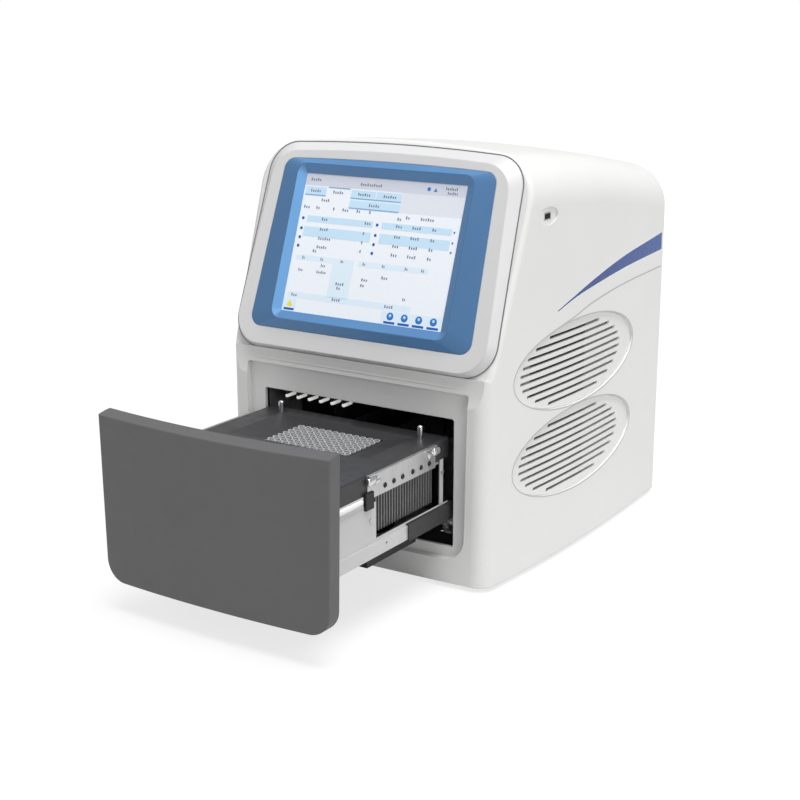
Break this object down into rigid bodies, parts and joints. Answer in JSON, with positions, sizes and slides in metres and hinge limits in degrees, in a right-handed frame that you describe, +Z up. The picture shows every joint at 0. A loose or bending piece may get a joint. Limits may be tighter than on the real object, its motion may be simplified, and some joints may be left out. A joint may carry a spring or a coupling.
{
  "type": "pcr machine",
  "caption": "Bench thermal cycler: tilted touch display over a motor-driven sample drawer with a well block, heated lid, optics and vented sides.",
  "frame": {"origin": "on the table, under the middle of the machine with its drawer open", "axes": "+X to the right of someone facing the display, +Y to the back, +Z up"},
  "size_m": [0.362, 0.6772, 0.4619],
  "materials": {
    "body_white": "satin moulded",
    "housing_grey": "satin moulded",
    "bezel_blue": "smooth",
    "screen_glass": "clear",
    "board_green": "lacquered board",
    "black_plastic": "matte",
    "rubber_black": "matte",
    "steel": "brushed",
    "zinc_sheet": "plated sheet",
    "panel_grey": "fine texture",
    "tray_dark": "matte",
    "block_silver": "bead blasted",
    "sink_aluminium": "anodised",
    "peltier_white": "ceramic",
    "chrome_parts": "polished",
    "lid_aluminium": "anodised",
    "light_grey_plastic": "matte"
  },
  "bodies": {
    "body": {"body_cover": "body_white", "display_housing": "housing_grey", "display_bezel": "bezel_blue", "touch_glass": "screen_glass", "display_module": "black_plastic", "control_board": "board_green", "left_grilles": "body_white", "right_grilles": "body_white", "usb_port": "steel", "base_plate": "zinc_sheet", "feet": "rubber_black", "rear_panel": "zinc_sheet", "cover_screws": "steel", "rear_fan_frames": "black_plastic", "power_inlet": "black_plastic", "switch_body": "black_plastic", "rear_ports": "steel", "power_supply": "zinc_sheet", "main_board": "board_green", "frame_sides": "zinc_sheet", "front_member": "zinc_sheet", "outer_slides": "zinc_sheet", "drive_motor": "steel", "light_baffle": "light_grey_plastic", "lid_bridge": "zinc_sheet", "lid_posts": "chrome_parts", "lid_motor": "steel", "optics_housing": "black_plastic", "filter_motor": "black_plastic", "detector_bracket": "zinc_sheet", "detector": "black_plastic"},
    "drawer": {"drawer_panel": "panel_grey", "panel_backplate": "tray_dark", "carriage_floor": "zinc_sheet", "side_plates": "light_grey_plastic", "tray_cover": "tray_dark", "side_brackets": "steel", "bracket_clips": "chrome_parts", "side_screws": "steel", "guide_pins": "chrome_parts", "sample_block": "block_silver", "peltier_modules": "peltier_white", "heat_sink": "sink_aluminium", "sink_fan_frames": "black_plastic", "inner_slides": "zinc_sheet", "drive_rack": "steel"},
    "left_slide": {"slide_middle_left": "zinc_sheet"},
    "right_slide": {"slide_middle_right": "zinc_sheet"},
    "pinion": {"drive_pinion": "steel"},
    "lid": {"heated_lid": "lid_aluminium", "lid_carrier": "lid_aluminium"},
    "lift_screw": {"lid_screw": "steel"},
    "wheel": {"filter_wheel": "black_plastic"},
    "rear_fan_left": {"rear_rotor_left": "black_plastic"},
    "rear_fan_right": {"rear_rotor_right": "black_plastic"},
    "sink_fan_left": {"sink_rotor_left": "black_plastic"},
    "sink_fan_right": {"sink_rotor_right": "black_plastic"},
    "rocker": {"power_rocker": "rubber_black"}
  },
  "joints": [
    {"name": "drawer_slide", "type": "slide", "parent": "body", "child": "drawer", "axis": [0, 1, 0], "range_m": [0, 0.232]},
    {"name": "left_slide_run", "type": "slide", "parent": "body", "child": "left_slide", "axis": [0, 1, 0], "range_m": [0, 0.117]},
    {"name": "right_slide_run", "type": "slide", "parent": "body", "child": "right_slide", "axis": [0, 1, 0], "range_m": [0, 0.117]},
    {"name": "pinion_spin", "type": "hinge", "parent": "body", "child": "pinion", "pos_m": [0.104, -0.05405, 0.06], "axis": [1, 0, 0], "range_deg": [-1110, 2]},
    {"name": "lid_lift", "type": "slide", "parent": "body", "child": "lid", "axis": [0, 0, 1], "range_m": [-0.011, 0]},
    {"name": "screw_spin", "type": "hinge", "parent": "body", "child": "lift_screw", "pos_m": [0, 0.16335, 0.19], "axis": [0, 0, 1], "range_deg": [-2, 992]},
    {"name": "wheel_spin", "type": "hinge", "parent": "body", "child": "wheel", "pos_m": [-0.03, 0.08335, 0.329], "axis": [0, 0, 1], "continuous": true},
    {"name": "rear_fan_left_spin", "type": "hinge", "parent": "body", "child": "rear_fan_left", "pos_m": [-0.062, 0.31895, 0.335], "axis": [0, 1, 0], "continuous": true},
    {"name": "rear_fan_right_spin", "type": "hinge", "parent": "body", "child": "rear_fan_right", "pos_m": [0.062, 0.31895, 0.335], "axis": [0, 1, 0], "continuous": true},
    {"name": "sink_fan_left_spin", "type": "hinge", "parent": "drawer", "child": "sink_fan_left", "pos_m": [-0.05, -0.15855, 0.0655], "axis": [0, 0, 1], "continuous": true},
    {"name": "sink_fan_right_spin", "type": "hinge", "parent": "drawer", "child": "sink_fan_right", "pos_m": [0.05, -0.15855, 0.0655], "axis": [0, 0, 1], "continuous": true},
    {"name": "rocker_tilt", "type": "hinge", "parent": "body", "child": "rocker", "pos_m": [-0.105, 0.33095, 0.091], "axis": [0, 0, 1], "range_deg": [0, 14]}
  ],
  "couplings": [
    {"joint": "left_slide_run", "follows": "drawer_slide", "ratio": 0.5},
    {"joint": "right_slide_run", "follows": "drawer_slide", "ratio": 0.5},
    {"joint": "pinion_spin", "follows": "drawer_slide", "rad_per_m": -83.333},
    {"joint": "screw_spin", "follows": "lid_lift", "rad_per_m": -1570.8}
  ]
}
